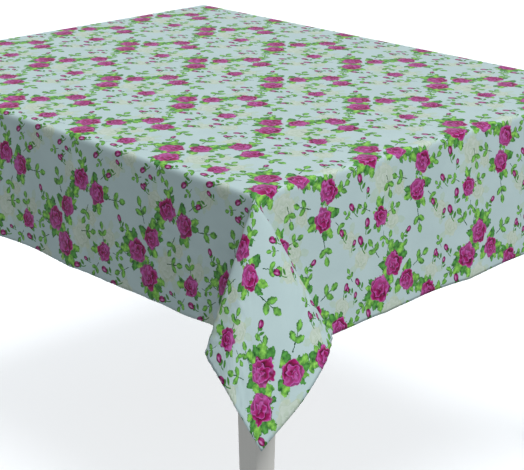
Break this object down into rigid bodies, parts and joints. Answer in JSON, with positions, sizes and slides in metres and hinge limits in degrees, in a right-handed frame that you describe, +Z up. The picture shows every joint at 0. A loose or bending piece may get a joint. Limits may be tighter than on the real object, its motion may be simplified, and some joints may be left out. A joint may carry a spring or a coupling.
{
  "type": "tablecloth on a table",
  "caption": "Rectangular vinyl tablecloth with a rose print, draped over a plain four-legged rectangular table; its corners hang as pointed folds.",
  "frame": {"origin": "on the floor, under the middle of the table top", "axes": "+Z up; X along the short sides of the top; Y along the long sides, front at -Y"},
  "size_m": [1.174, 1.3354, 0.7513],
  "materials": {
    "printed_vinyl": "vinyl film with a soft sheen, rose print, fleece back",
    "board": "satin lacquer",
    "leg_wood": "white satin paint",
    "brace_wood": "bare sawn wood",
    "nylon": "moulded",
    "zinc": "zinc plated"
  },
  "bodies": {
    "table": {"top_board": "board", "apron_front": "leg_wood", "apron_back": "leg_wood", "apron_left": "leg_wood", "apron_right": "leg_wood", "leg_front_left": "leg_wood", "leg_front_right": "leg_wood", "leg_back_left": "leg_wood", "leg_back_right": "leg_wood", "brace_front_left": "brace_wood", "brace_front_right": "brace_wood", "brace_back_left": "brace_wood", "brace_back_right": "brace_wood", "glide_front_left": "nylon", "glide_front_right": "nylon", "glide_back_left": "nylon", "glide_back_right": "nylon", "hanger_bolts": "zinc", "hanger_washers": "zinc", "hanger_nuts": "zinc", "brace_screws": "zinc", "angle_brackets": "zinc", "bracket_screws": "zinc"},
    "cloth": {"tablecloth": "printed_vinyl"}
  },
  "joints": [
    {"name": "cloth_lift", "type": "slide", "parent": "table", "child": "cloth", "axis": [0, 0, 1], "range_m": [0, 0.45]}
  ]
}
